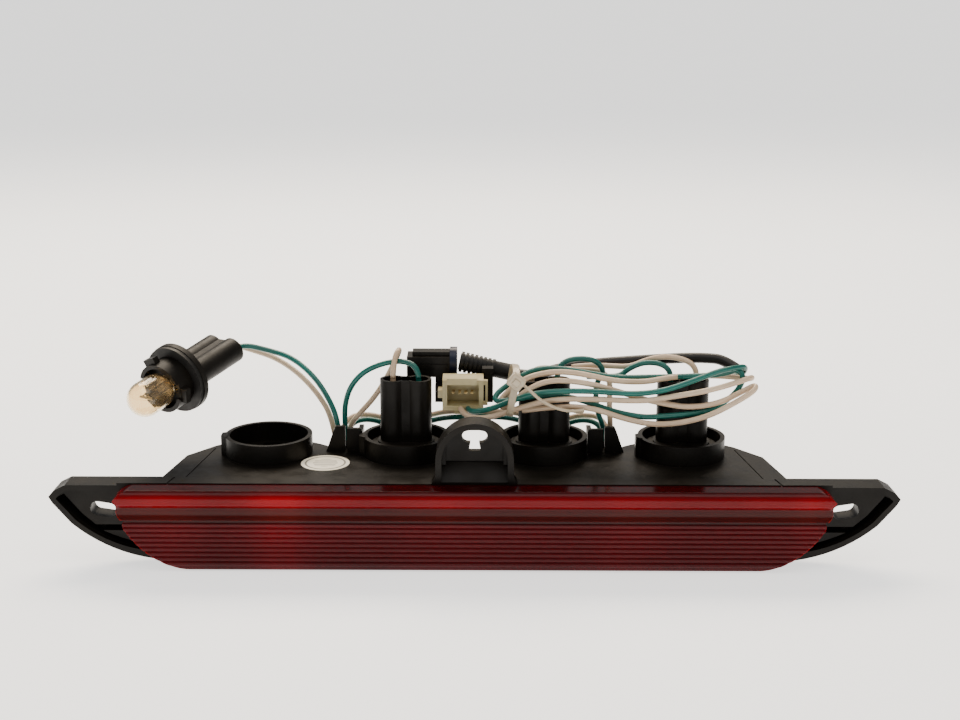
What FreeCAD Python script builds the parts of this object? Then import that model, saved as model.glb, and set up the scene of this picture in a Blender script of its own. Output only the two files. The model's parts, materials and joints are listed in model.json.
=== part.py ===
import FreeCAD, Part
import math
import os
import Sketcher

# Third brake light of a car: a black housing with four bulb ports, a red lens, four twist-lock
# bulb sockets (the first one out of its port), and a wire harness tied in a hank.
# Millimetres. +Z is the side that the sockets point to, -Y the lens side, +X to the right.
# The origin is the middle of the base, on the surface that the lamp stands on.

os.makedirs("parts", exist_ok=True)
doc = FreeCAD.newDocument("third_brake_light")
V = FreeCAD.Vector

# ---------------------------------------------------------------- driving dimensions
DIMENSIONS = [
    ("rear_y", 30.5, "Y of the rearmost line of the lobes"),
    ("wall_top", 36.0, "height of the outer face of the socket wall"),
    ("shell", 2.2, "wall thickness of the housing"),
    ("lobe_pitch", 59.6, "distance between neighbouring ports"),
    ("lobe_depth", 16.0, "depth of the valleys between the lobes"),
    ("side_front_x", 129.5, "half width of the housing at the flange"),
    ("side_mid_x", 124.3, "half width at the first facet edge"),
    ("side_mid_depth", 24.0, "depth of the first facet edge"),
    ("side_rear_x", 114.0, "half width at the second facet edge"),
    ("flange_rear", 54.0, "depth of the flange's back"),
    ("flange_front", 62.0, "depth of the flange's front, where the lens sits"),
    ("ear_rear", 50.5, "depth of the back of the ears"),
    ("ear_top", 35.4, "height of the top of the ears"),
    ("ear_floor", 2.4, "thickness of the ears' floor and rim"),
    ("pad_front", 59.5, "depth of the face of the mounting pads"),
    ("tip_x", 174.2, "half of the overall width, at the tips of the ears"),
    ("slot_x", 152.6, "distance of the ear slots from the middle"),
    ("slot_z", 24.2, "height of the ear slots"),
    ("slot_r", 3.0, "half width of the ear slots"),
    ("slot_length", 11.0, "length of the ear slots, end to end"),
    ("slot_slant", 9.0, "slant of the ear slots in degrees, down towards the lens"),
    ("port_depth", 19.2, "depth of the port axes"),
    ("collar_r", 18.8, "outer radius of the port collars"),
    ("collar_bore_r", 16.9, "inner radius of the port collars"),
    ("collar_rise", 8.5, "height of the collars above the socket wall"),
    ("port_r", 11.3, "radius of the port holes"),
    ("port_boss", 4.3, "depth of the port hole's wall below the outer face"),
    ("notch_r", 13.8, "radius of the bayonet notches in the port holes"),
    ("tab_r", 16.0, "outer radius of the centre tab's arch"),
    ("tab_top", 62.0, "height of the top of the centre tab"),
    ("tab_rim", 2.5, "thickness of the centre tab's rim"),
    ("tab_rear", 51.0, "depth of the back of the centre tab"),
    ("tab_plate", 3.0, "thickness of the centre tab's plate"),
    ("tab_slot_z", 54.3, "height of the slot in the centre tab"),
    ("tab_slot_r", 2.6, "half width of the centre tab's slot"),
    ("tab_slot_length", 10.4, "length of the centre tab's slot"),
    ("lens_wall", 2.4, "wall thickness of the lens"),
    ("lens_half", 145.6, "half width of the lens"),
    ("lens_nose", 72.6, "depth of the foremost line of the lens"),
    ("rib_count", 9, "horizontal ribs on the lens panel"),
    ("rib_rise", 0.45, "how far the ribs stand out"),
    ("insert_gap", 0.4, "gap between the reflector and the housing"),
    ("insert_wall", 1.2, "thickness of the reflector"),
    ("insert_front", 54.2, "depth of the reflector's front edge"),
    ("gasket_low", 0.3, "gap under a socket's gasket"),
    ("gasket_high", 2.2, "height of the gasket's top above the socket wall"),
    ("flange_r", 15.2, "radius of a socket's flange"),
    ("flange_high", 4.8, "height of the flange's top above the socket wall"),
    ("boot_r", 5.6, "outer radius of one boot tube"),
    ("boot_offset", 5.5, "distance of a boot tube from the socket's axis"),
    ("boot_bore_r", 4.3, "inner radius of a boot tube"),
    ("boot_high", 33.4, "height of the boot's mouth above the socket wall"),
    ("boot_mouth", 9.0, "depth of the boot's mouths"),
    ("neck_r", 11.0, "radius of a socket's neck"),
    ("neck_low", 8.6, "how far the neck reaches below the wall's outer face"),
    ("cup_r", 9.2, "inner radius of the cup that holds the bulb"),
    ("cup_floor", 3.4, "depth of the cup's floor below the wall's outer face"),
    ("lug_r", 13.4, "radius of the bayonet lugs"),
    ("lug_top", 4.6, "depth of the lugs' upper face"),
    ("lug_bottom", 7.4, "depth of the lugs' lower face"),
    ("bulb_r", 7.65, "radius of the bulb's glass"),
    ("bulb_tip", 25.2, "depth of the bulb's tip below the wall's outer face"),
    ("glass_wall", 0.8, "thickness of the bulb's glass"),
    ("wire_r", 1.2, "radius of a wire with its insulation"),
    ("sleeve_r", 2.3, "radius of the black cable sleeve"),
    ("wire_gap", 0.3, "gap between a turning boot and its wires"),
    ("tie_wall", 1.3, "thickness of the cable tie's strap"),
    ("conn_wall", 1.5, "wall thickness of the cream connector"),
    ("loose_x", -129.0, "X of the loose socket's seat"),
    ("loose_depth", 22.0, "depth of the loose socket's seat"),
    ("loose_z", 69.0, "height of the loose socket's seat"),
    ("loose_turn", 58.0, "direction of the loose socket's boot, from +X"),
    ("loose_lift", 13.0, "how far the loose socket's boot points up, in degrees"),
    ("sticker_r", 10.3, "radius of the sticker"),
    ("sticker_x", -63.6, "X of the sticker"),
    ("sticker_depth", 34.2, "depth of the sticker"),
]

sheet = doc.addObject("Spreadsheet::Sheet", "Params")
P = {}
for row, (alias, value, meaning) in enumerate(DIMENSIONS, start=1):
    sheet.set(f"A{row}", alias)
    sheet.set(f"B{row}", str(value))
    sheet.set(f"C{row}", meaning)
    sheet.setAlias(f"B{row}", alias)
    P[alias] = float(value)
doc.recompute()

PIECES = []  # every sub-part that becomes a file


# ---------------------------------------------------------------- helpers
def bind(thing, **expressions):
    """Bind properties to sheet expressions; Base__z stands for Base.z."""
    for prop, text in expressions.items():
        thing.setExpression(prop.replace("__", "."), text)


def named(thing, label):
    thing.Label = label
    PIECES.append(thing)
    return thing


def at_rear(thing):
    """Local y = 0 of the lamp's own pieces is the rearmost line of the lobes."""
    bind(thing, Placement__Base__y="Params.rear_y")


def new_body(label):
    body = doc.addObject("PartDesign::Body", label)
    return named(body, label)


def origin_plane(body, role):
    return next(f for f in body.Origin.OriginFeatures if f.Role == role)


def sketch_on(body, role, name, offset="0"):
    """A sketch on one of the body's planes, moved along the plane's normal."""
    sketch = body.newObject("Sketcher::SketchObject", name)
    sketch.AttachmentSupport = (origin_plane(body, role), [""])
    sketch.MapMode = "FlatFace"
    bind(sketch, AttachmentOffset__Base__z=offset)
    return sketch


def outline(sketch, points):
    """A closed outline. A point is (x, y), or (x, y, mid_x, mid_y) at the end of an arc."""
    flat = [V(p[0], p[1], 0) for p in points]
    for i, p in enumerate(points):
        start, end = flat[i - 1], flat[i]
        if len(p) == 4:
            arc = Part.Arc(start, V(p[2], p[3], 0), end)
            sketch.addGeometry(arc, False)
        else:
            sketch.addGeometry(Part.LineSegment(start, end), False)


def circle(sketch, x, y, alias):
    """A circle whose radius is a cell of the sheet."""
    index = sketch.addGeometry(Part.Circle(V(x, y, 0), V(0, 0, 1), P[alias]), False)
    number = sketch.addConstraint(Sketcher.Constraint("Radius", index, P[alias]))
    sketch.setExpression(f"Constraints[{number}]", f"Params.{alias}")


def pad(body, sketch, length, back=False, both=False):
    feature = body.newObject("PartDesign::Pad", "Pad")
    feature.Profile = sketch
    feature.Reversed = back
    feature.Midplane = both
    bind(feature, Length=length)
    doc.recompute()
    return feature


def pocket(body, sketch, length, back=False):
    """A pocket that has to remove something."""
    before = body.Shape.Volume
    feature = body.newObject("PartDesign::Pocket", "Pocket")
    feature.Profile = sketch
    feature.Reversed = back
    bind(feature, Length=length)
    doc.recompute()
    if body.Shape.Volume > before - 0.01:
        raise RuntimeError(f"{sketch.Name} cuts nothing")
    return feature


def cylinder(name, radius, height, **places):
    thing = doc.addObject("Part::Cylinder", name)
    bind(thing, Radius=radius, Height=height, **places)
    return thing


def block(name, length, width, height, **places):
    thing = doc.addObject("Part::Box", name)
    bind(thing, Length=length, Width=width, Height=height, **places)
    return thing


def fuse(name, shapes):
    thing = doc.addObject("Part::MultiFuse", name)
    thing.Shapes = shapes
    return thing


def cut(name, base, tool):
    thing = doc.addObject("Part::Cut", name)
    thing.Base = base
    thing.Tool = tool
    return thing


def mirrored(points):
    """The same points on the other side of x = 0, in the opposite order."""
    return [(-x, y) for x, y in reversed(points)]


# ---------------------------------------------------------------- plan of the lobes
def lobe_circle():
    """(radius, y of the centre) of the circle that each lobe's rear follows."""
    half, depth = P["lobe_pitch"] / 2, P["lobe_depth"]
    radius = (half**2 + depth**2) / (2 * depth)
    return radius, -radius


def lobe_plan(inset, front):
    """The housing's plan, moved inwards by inset, with its front edge at the depth front."""
    radius, centre = lobe_circle()
    half = P["lobe_pitch"] / 2
    r = radius - inset
    valley = centre + math.sqrt(r**2 - half**2)
    end_x = P["side_rear_x"] - 0.5 * inset
    end_y = centre + math.sqrt(r**2 - (end_x - 3 * half) ** 2)
    mid = (P["side_mid_x"] - inset, -P["side_mid_depth"] - 0.3 * inset)
    points = [(-(P["side_front_x"] - inset), -front), (-mid[0], mid[1]), (-end_x, end_y)]
    crest = centre + r
    for lobe in range(4):
        x = (lobe - 1.5) * 2 * half
        last = (end_x, end_y) if lobe == 3 else (x + half, valley)
        points.append((last[0], last[1], x, crest))
    points += [mid, (P["side_front_x"] - inset, -front)]
    return points


PORTS = [(i - 1.5) * P["lobe_pitch"] for i in range(4)]


# ---------------------------------------------------------------- housing
def ear_outline(side, inset=0.0):
    """Front view of one ear: flat top, blunt tip and one long curve down to the lens."""
    i = inset
    points = [
        (128.0, P["ear_top"] - i),
        (167.2 - 0.6 * i, P["ear_top"] - i),
        (171.6 - 0.9 * i, 33.2 - 0.8 * i),
        (P["tip_x"] - i, 30.4 - 0.4 * i),
        (172.6 - 1.1 * i, 27.6 + 0.2 * i),
        (165.4 - 0.8 * i, 19.0 + 0.6 * i),
        (128.0, 3.2 + i, 150.0 - 0.4 * i, 8.9 + i),
    ]
    return turned(points, side)


def turned(points, side):
    """The points as they are for side +1, or mirrored in x for side -1."""
    return [tuple(v * side if n % 2 == 0 else v for n, v in enumerate(p)) for p in points]


def ear_recess(side):
    """The whole recess inside the rim of one ear, beside the lens."""
    rim = P["ear_floor"]
    points = [
        (147.0, P["ear_top"] - rim),
        (166.6, P["ear_top"] - rim),
        (169.2, 31.6),
        (P["tip_x"] - rim - 0.6, 29.6),
        (163.6, 20.4),
        (135.0, 7.2, 149.4, 11.2),
        (141.8, 13.6),
        (145.0, 20.0),
        (147.0, 26.0),
    ]
    return turned(points, side)


def ear_groove(side):
    """The deep groove inside the rim and its branch between the two pads."""
    points = [
        (168.4, 31.0),
        (P["tip_x"] - P["ear_floor"] - 0.6, 29.4),
        (163.4, 20.4),
        (135.8, 7.5, 149.4, 11.3),
        (138.0, 9.6),
        (153.2, 15.0, 146.6, 12.2),
        (142.6, 15.0),
        (144.0, 17.6),
        (156.0, 17.6),
        (161.4, 22.4),
    ]
    return turned(points, side)


def slot_outline(x, z, radius, length, slant):
    """A slot with round ends, turned by slant degrees about its middle."""
    half, c, s = length / 2 - radius, math.cos(math.radians(slant)), math.sin(math.radians(slant))

    def spot(u, v):
        return (x + u * c - v * s, z + u * s + v * c)

    return [
        spot(-half, radius),
        spot(-half, -radius) + spot(-half - radius, 0),
        spot(half, -radius),
        spot(half, radius) + spot(half + radius, 0),
    ]


def lens_outline(inset):
    """Front view of the lens: each of its three bands has its own rounded end."""
    i, half = inset, P["lens_half"]
    right = [
        (136.0 - i, 36.0 - i),
        (half - i, 32.2 - 0.4 * i, 142.6 - 0.8 * i, 34.9 - 0.8 * i),
        (half - 1.6 - i, 29.8),
        (half - 3.4 - i, 22.7, half - 0.5 - i, 26.6),
        (half - 3.8 - i, 18.0, half - 2.7 - i, 20.6),
        (106.0 - 0.3 * i, 0.3 + i, 132.8 - 0.8 * i, 7.6 + 0.7 * i),
    ]
    left = []
    for n in range(len(right) - 1, -1, -1):
        point = (-right[n][0], right[n][1])
        if n < len(right) - 1 and len(right[n + 1]) == 4:
            point += (-right[n + 1][2], right[n + 1][3])
        left.append(point)
    return right + left


def make_housing():
    body = new_body("housing")
    at_rear(body)
    plan = sketch_on(body, "XY_Plane", "plan")
    outline(plan, lobe_plan(0, P["flange_rear"] + 1))
    pad(body, plan, "Params.wall_top")

    flange = sketch_on(body, "XZ_Plane", "flange", "Params.flange_rear")
    low = [(104.0, 0.0), (118.0, 1.5), (128.0, 3.2), (146.0, 8.0)]
    high = [(146.0, P["wall_top"] + 0.4)]
    outline(flange, low + high + mirrored(low + high))
    pad(body, flange, "Params.flange_front - Params.flange_rear")
    for side in (-1, 1):
        ear = sketch_on(body, "XZ_Plane", "ear", "Params.ear_rear")
        outline(ear, ear_outline(side))
        pad(body, ear, "Params.flange_front - Params.ear_rear")

    # the collars, the bosses under the ports and the lugs beside the collars
    collars = sketch_on(body, "XY_Plane", "collars", "Params.wall_top")
    for x in PORTS:
        circle(collars, x, -P["port_depth"], "collar_r")
    pad(body, collars, "Params.collar_rise")
    keys = sketch_on(body, "XY_Plane", "keys", "Params.wall_top")
    for x in PORTS:
        left = x - P["collar_r"]
        y = -P["port_depth"]
        outline(keys, [(left - 1.3, y - 4.5), (left + 1.5, y - 6.5), (left + 1.5, y + 1.5), (left - 1.3, y)])
    pad(body, keys, "Params.collar_rise + 0.4")

    # the hollow, open at the front
    hollow = sketch_on(body, "XY_Plane", "hollow", "Params.shell")
    outline(hollow, lobe_plan(P["shell"], P["flange_rear"] + 0.5))
    pocket(body, hollow, "Params.wall_top - 2 * Params.shell", back=True)
    mouth = sketch_on(body, "XZ_Plane", "mouth", "Params.flange_front + 1")
    outline(mouth, lens_outline(P["lens_wall"] + 1.0))
    pocket(body, mouth, "Params.flange_front + 1.5 - Params.flange_rear")
    bosses = sketch_on(body, "XY_Plane", "bosses", "Params.wall_top - Params.port_boss")
    for x in PORTS:
        bosses.addGeometry(Part.Circle(V(x, -P["port_depth"], 0), V(0, 0, 1), 16.0), False)
    pad(body, bosses, "Params.port_boss - 0.5 * Params.shell")

    bores = sketch_on(body, "XY_Plane", "bores", "Params.wall_top + Params.collar_rise + 1")
    for x in PORTS:
        circle(bores, x, -P["port_depth"], "collar_bore_r")
    pocket(body, bores, "Params.collar_rise + 1")
    ports = sketch_on(body, "XY_Plane", "ports", "Params.wall_top + 1")
    for x in PORTS:
        circle(ports, x, -P["port_depth"], "port_r")
    pocket(body, ports, "Params.port_boss + 2")
    for turn in (90, 210, 330):
        notches = sketch_on(body, "XY_Plane", "notches", "Params.wall_top + 1")
        for x in PORTS:
            outline(notches, notch(x, -P["port_depth"], turn))
        pocket(body, notches, "Params.port_boss + 2")

    # the ears: recess, deep groove and slot
    for side in (-1, 1):
        recess = sketch_on(body, "XZ_Plane", "recess", "Params.flange_front + 1")
        outline(recess, ear_recess(side))
        pocket(body, recess, "Params.flange_front + 1 - Params.pad_front")
        groove = sketch_on(body, "XZ_Plane", "groove", "Params.flange_front + 1")
        outline(groove, ear_groove(side))
        pocket(body, groove, "Params.flange_front + 1 - Params.ear_rear - Params.ear_floor")
        slot = sketch_on(body, "XZ_Plane", "slot", "Params.flange_front + 1")
        shape = slot_outline(side * P["slot_x"], P["slot_z"], P["slot_r"], P["slot_length"], side * P["slot_slant"])
        outline(slot, shape)
        pocket(body, slot, "Params.flange_front + 2 - Params.ear_rear")

    add_tab(body)
    add_clips(body)
    add_mould_lines(body)
    return body


def notch(x, y, turn):
    """A bayonet notch in the edge of a port, towards the angle turn."""
    a = math.radians(turn)
    r0, r1, half = P["port_r"] - 1.5, P["notch_r"], 4.0
    c, s = math.cos(a), math.sin(a)
    corners = [(r0, -half), (r1, -half), (r1, half), (r0, half)]
    return [(x + u * c - v * s, y + u * s + v * c) for u, v in corners]


def add_tab(body):
    """The centre tab: an arch whose rim stands forward of its plate, with a keyed slot."""
    r, rim = P["tab_r"], P["tab_rim"]
    base, middle = P["wall_top"] - 1.0, P["tab_top"] - P["tab_r"]
    arch = sketch_on(body, "XZ_Plane", "arch", "Params.tab_rear")
    outline(arch, [(r, base), (r, middle), (-r, middle, 0, P["tab_top"]), (-r, base)])
    pad(body, arch, "Params.flange_front - Params.tab_rear")
    inner = r - rim
    hollow = sketch_on(body, "XZ_Plane", "arch_recess", "Params.flange_front + 1")
    floor = P["wall_top"] + 0.4
    outline(hollow, [(inner, floor), (inner, middle), (-inner, middle, 0, P["tab_top"] - rim), (-inner, floor)])
    pocket(body, hollow, "Params.flange_front + 1 - Params.tab_rear - Params.tab_plate")
    # the ramp at the foot of the plate
    ramp = sketch_on(body, "YZ_Plane", "ramp")
    back = -P["tab_rear"] - P["tab_plate"] + 0.5
    outline(ramp, [(back, 36.0), (-61.4, 36.0), (-61.4, 37.0), (back - 1.2, 43.6), (back, 43.6)])
    pad(body, ramp, "2 * (Params.tab_r - 1)", both=True)
    # thin ribs in the two inner corners
    ribs = sketch_on(body, "XZ_Plane", "corner_ribs", "Params.tab_rear + Params.tab_plate - 0.5")
    for side in (-1, 1):
        outline(ribs, turned([(inner - 1.6, 43.0), (inner + 0.5, 43.0), (inner + 0.5, 53.2), (inner - 1.6, 53.2)], side))
    pad(body, ribs, "3.2")
    # feet of the rim where it meets the flange
    feet = sketch_on(body, "XZ_Plane", "feet", "Params.flange_rear + 2")
    for side in (-1, 1):
        outline(feet, turned([(r - rim, 36.0), (r + 1.8, 36.0), (r - 0.2, 40.0), (r - rim, 40.0)], side))
    pad(body, feet, "Params.flange_front - Params.flange_rear - 2")
    slot = sketch_on(body, "XZ_Plane", "tab_slot", "Params.flange_front")
    outline(slot, slot_outline(0, P["tab_slot_z"], P["tab_slot_r"], P["tab_slot_length"], 0))
    pocket(body, slot, "Params.flange_front + 1 - Params.tab_rear")
    key = sketch_on(body, "XZ_Plane", "tab_key", "Params.flange_front")
    low = P["tab_slot_z"] - P["tab_slot_r"] - 3.6
    outline(key, [(2.5, low), (1.6, low + 4.6), (-1.6, low + 4.6), (-2.5, low)])
    pocket(body, key, "Params.flange_front + 1 - Params.tab_rear")


def add_clips(body):
    """Two wire clips on the rear edge of the socket wall, one at each outer valley."""
    for side in (-1, 1):
        fin = sketch_on(body, "XZ_Plane", "clip_outer", "Params.lobe_depth - 0.2")
        outline(fin, turned([(56.4, 35.0), (65.2, 35.0), (61.6, 45.2), (60.6, 47.4), (56.4, 47.4)], side))
        pad(body, fin, "2.0")
        fin = sketch_on(body, "XZ_Plane", "clip_inner", "Params.lobe_depth + 1.2")
        outline(fin, turned([(48.8, 35.0), (55.6, 35.0), (55.6, 46.8), (49.6, 46.8), (48.8, 45.4)], side))
        pad(body, fin, "2.0")
        # a cheek behind the inner fin, which makes the clip's channel
        cheek = sketch_on(body, "XY_Plane", "clip_cheek", "Params.wall_top - 1")
        outline(cheek, turned([(48.8, -17.6), (50.8, -17.6), (50.8, -8.5), (48.8, -8.5)], side))
        pad(body, cheek, "10.6")


def add_mould_lines(body):
    """Fine lines beside both ends of the socket wall and across the flange."""
    lines = sketch_on(body, "XY_Plane", "mould_lines", "Params.wall_top + 1")
    for side in (-1, 1):
        outline(lines, turned([(113.4, -14.0), (114.0, -14.0), (119.6, -53.4), (119.0, -53.4)], side))
    pocket(body, lines, "1.35")
    ticks = sketch_on(body, "XY_Plane", "flange_lines", "Params.wall_top + 1")
    for side in (-1, 1):
        outline(ticks, turned([(123.4, -54.4), (124.1, -54.4), (125.9, -63.0), (125.2, -63.0)], side))
    pocket(body, ticks, "1.0")


make_housing()


# ---------------------------------------------------------------- reflector
def make_reflector():
    """A metallised insert with four bowls, open at the front and under each port."""
    body = new_body("reflector")
    at_rear(body)
    gap, wall = P["insert_gap"], P["insert_wall"]
    inset = P["shell"] + gap
    plan = sketch_on(body, "XY_Plane", "plan", "Params.shell + Params.insert_gap")
    outline(plan, lobe_plan(inset, P["insert_front"]))
    pad(body, plan, "Params.wall_top - 2 * (Params.shell + Params.insert_gap) - 2.2")
    hollow = sketch_on(body, "XY_Plane", "hollow", "Params.shell + Params.insert_gap + Params.insert_wall")
    outline(hollow, lobe_plan(inset + wall, P["insert_front"] + 2))
    height = "Params.wall_top - 2 * (Params.shell + Params.insert_gap + Params.insert_wall) - 2.2"
    pocket(body, hollow, height, back=True)
    # the dividers between the bowls, with a round tab at the front of each
    valley = -P["lobe_depth"] - 5
    walls = sketch_on(body, "XY_Plane", "dividers", "Params.shell + Params.insert_gap + 0.5")
    for x in (-P["lobe_pitch"], 0, P["lobe_pitch"]):
        outline(walls, [(x - 0.8, valley), (x - 0.8, -50.0), (x + 0.8, -50.0), (x + 0.8, valley)])
    pad(body, walls, "Params.wall_top - 2 * (Params.shell + Params.insert_gap) - 3.2")
    tabs = sketch_on(body, "XZ_Plane", "tabs", "49.5")
    for x in (-P["lobe_pitch"], 0, P["lobe_pitch"]):
        tabs.addGeometry(Part.Circle(V(x * 0.9, 25.6, 0), V(0, 0, 1), 4.6), False)
    pad(body, tabs, "8")
    bores = sketch_on(body, "XY_Plane", "bores", "Params.wall_top")
    for x in PORTS:
        bores.addGeometry(Part.Circle(V(x, -P["port_depth"], 0), V(0, 0, 1), 15.8), False)
    pocket(body, bores, "12")


make_reflector()


# ---------------------------------------------------------------- lens
def lens_profile(inset):
    """Side view of the lens as (depth, height): top, bull-nose, smooth band, ribbed panel."""
    i = inset
    rear, nose = P["flange_front"], P["lens_nose"]
    top, low = 36.0 - i, 0.3 + i
    points = [
        (rear, low),
        (rear, top),
        (nose - 2.6 - i, top),
        (nose - 1.6 - i, 29.4 + 0.2 * i, nose - i, 33.2 - 0.4 * i),
        (nose - 2.0 - i, 23.4, nose - 3.0 - i, 26.6),
        (nose - 3.6 - i, 22.8),
    ]
    count, high, end = int(P["rib_count"]), 22.0, 2.6 + 0.8 * i
    if inset:
        points += [(nose - 3.6 - i, high), (nose - 5.0 - i, end)]
    else:
        step = (high - end) / count
        points.append((nose - 3.6, high))
        for n in range(1, count + 1):
            depth = nose - 3.6 - 1.4 * n / count
            middle = (depth + 0.7 / count + P["rib_rise"], high - (n - 0.5) * step)
            points.append((depth, high - n * step) + middle)
    points.append((nose - 7.4 - i, low, nose - 5.7 - i, low + 0.7))
    return [tuple(-v if n % 2 == 0 else v for n, v in enumerate(p)) for p in points]


def lens_block(name, inset):
    """The lens outline and the lens profile, each drawn out and then intersected."""
    side = doc.addObject("Sketcher::SketchObject", name + "_side")
    outline(side, lens_profile(inset))
    side.Placement = FreeCAD.Placement(V(-160, 0, 0), FreeCAD.Rotation(V(0, 1, 0), V(0, 0, 1), V(1, 0, 0), "ZXY"))
    front = doc.addObject("Sketcher::SketchObject", name + "_front")
    outline(front, lens_outline(inset))
    front.Placement = FreeCAD.Placement(V(0, -61, 0), FreeCAD.Rotation(V(1, 0, 0), 90))
    drawn = []
    for sketch, length in ((side, "320"), (front, "Params.lens_nose - 55")):
        run = doc.addObject("Part::Extrusion", sketch.Name + "_run")
        run.Base = sketch
        run.DirMode = "Normal"
        run.Solid = True
        bind(run, LengthFwd=length)
        drawn.append(run)
    both = doc.addObject("Part::Common", name)
    both.Base = drawn[0]
    both.Tool = drawn[1]
    return both


def make_lens():
    lens = named(cut("lens", lens_block("lens_outer", 0.0), lens_block("lens_inner", P["lens_wall"])), "lens")
    at_rear(lens)
    return lens


make_lens()



# ---------------------------------------------------------------- lens seal and sticker
def make_seal():
    """A bead of sealant around the inside of the lens, against the flange."""
    body = new_body("lens_seal")
    at_rear(body)
    ring = sketch_on(body, "XZ_Plane", "ring", "Params.flange_front")
    outline(ring, lens_outline(P["lens_wall"] + 0.45))
    pad(body, ring, "1.0")
    inner = sketch_on(body, "XZ_Plane", "inner", "Params.flange_front + 1")
    outline(inner, lens_outline(P["lens_wall"] + 1.8))
    pocket(body, inner, "2.0")


make_seal()
sticker = named(cylinder("sticker", "Params.sticker_r", "0.2"), "sticker")
bind(sticker, Placement__Base__x="Params.sticker_x", Placement__Base__z="Params.wall_top")
bind(sticker, Placement__Base__y="Params.rear_y - Params.sticker_depth")


# ---------------------------------------------------------------- bulb sockets
def rounded_block(name, length, width, low, high, x=0.0, y=0.0):
    """A block centred on (x, y) between two heights; the sizes are sheet expressions."""
    thing = block(name, length, width, f"({high}) - ({low})")
    bind(thing, Placement__Base__x=f"{x} - ({length}) / 2", Placement__Base__y=f"{y} - ({width}) / 2")
    bind(thing, Placement__Base__z=low)
    return thing


def tube_between(name, radius, low, high, x="0"):
    """A cylinder standing between two heights."""
    return cylinder(name, radius, f"({high}) - ({low})", Placement__Base__z=low, Placement__Base__x=x)


def make_socket(n):
    """Flange, neck with three lugs, open cup and twin-tube boot, as one moulding."""
    solids = [
        tube_between(f"neck_{n}", "Params.neck_r", "-Params.neck_low", "Params.flange_high"),
        tube_between(f"flange_{n}", "Params.flange_r", "Params.gasket_high", "Params.flange_high"),
        tube_between(f"rim_{n}", "12.2", "Params.flange_high - 0.2", "Params.flange_high + 1.6"),
        rounded_block(f"web_{n}", "2 * Params.boot_offset", "8.4", "Params.flange_high", "Params.boot_high"),
    ]
    for side in (-1, 1):
        x = f"{side} * Params.boot_offset"
        solids.append(tube_between(f"boot_{n}", "Params.boot_r", "Params.gasket_high", "Params.boot_high", x))
    for turn in (130, 250, 10):
        lug = block(f"lug_{n}", "Params.lug_r - Params.neck_r + 1", "6.4", "Params.lug_bottom - Params.lug_top")
        around = FreeCAD.Rotation(V(0, 0, 1), turn)
        lug.Placement = FreeCAD.Placement(around.multVec(V(P["neck_r"] - 1, -3.2, -P["lug_bottom"])), around)
        solids.append(lug)
    holes = [
        tube_between(f"cup_{n}", "Params.cup_r", "-Params.neck_low - 1", "-Params.cup_floor"),
        rounded_block(f"wedge_slot_{n}", "13.2", "5.4", "-Params.cup_floor - 1", "0.6"),
        rounded_block(f"cup_window_{n}", "24", "7", "-Params.neck_low - 1", "-Params.lug_bottom - 0.3"),
        rounded_block(f"boot_split_{n}", "3.4", "7", "Params.boot_high - Params.boot_mouth", "Params.boot_high + 1"),
    ]
    for side in (-1, 1):
        x = f"{side} * Params.boot_offset"
        low = "Params.boot_high - Params.boot_mouth"
        holes.append(tube_between(f"mouth_{n}", "Params.boot_bore_r", low, "Params.boot_high + 1", x))
    return cut(f"socket_{n}", fuse(f"socket_solids_{n}", solids), fuse(f"socket_holes_{n}", holes))


def make_gasket(n):
    ring = tube_between(f"gasket_ring_{n}", "Params.flange_r - 0.3", "Params.gasket_low", "Params.gasket_high")
    hole = tube_between(f"gasket_hole_{n}", "Params.neck_r", "-1", "Params.gasket_high + 1")
    return cut(f"gasket_{n}", ring, hole)


def bulb_profile(inset):
    """Half section of the glass as (radius, height), closed along the axis."""
    r, tip = P["bulb_r"] - inset, P["bulb_tip"] - inset
    knee = P["bulb_tip"] - P["bulb_r"] * 0.9
    low = -5.2 - inset
    return [
        (0, low),
        (0, -tip),
        (r, -knee, r * 0.72, -knee - (tip - knee) * 0.7),
        (r, -11.0),
        (5.2 - inset * 0.6, low - 0.2, r - 0.7, -7.6),
        (4.6 - inset * 0.6, low),
    ]


def make_bulb(n):
    """A hollow glass bulb and the flat wedge that it is held by."""
    turned_shapes = []
    for name, inset in ((f"glass_{n}", 0.0), (f"gas_{n}", P["glass_wall"])):
        sketch = doc.addObject("Sketcher::SketchObject", name + "_outline")
        outline(sketch, bulb_profile(inset))
        sketch.Placement = FreeCAD.Placement(V(0, 0, 0), FreeCAD.Rotation(V(1, 0, 0), 90))
        solid = doc.addObject("Part::Revolution", name)
        solid.Source = sketch
        solid.Axis = (0, 0, 1)
        solid.Angle = 360
        solid.Solid = True
        turned_shapes.append(solid)
    shell = cut(f"shell_{n}", turned_shapes[0], turned_shapes[1])
    wedge = rounded_block(f"wedge_{n}", "11.0", "2.6", "-5.6", "0.2")
    return fuse(f"bulb_{n}", [shell, wedge])


def make_filament(n):
    """Two lead wires and the coil between their ends."""
    solids = []
    for side in (-1, 1):
        solids.append(tube_between(f"lead_{n}", "0.3", "-17.0", "-6.0", str(side * 3.0)))
    coil = cylinder(f"coil_{n}", "0.55", "7.0")
    coil.Placement = FreeCAD.Placement(V(-3.5, 0, -17.0), FreeCAD.Rotation(V(0, 1, 0), 90))
    return fuse(f"filament_{n}", solids + [coil])


def make_contacts(n):
    """Two bent brass strips, one on each side of the wedge."""
    parts = []
    for side in (-1, 1):
        parts.append(rounded_block(f"strip_{n}", "4.4", "0.5", "-3.0", "0.6", side * 3.2, side * 2.0))
        parts.append(rounded_block(f"foot_{n}", "4.4", "0.8", "-3.0", "-2.4", side * 3.2, side * 2.2))
    return fuse(f"contacts_{n}", parts)


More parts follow.
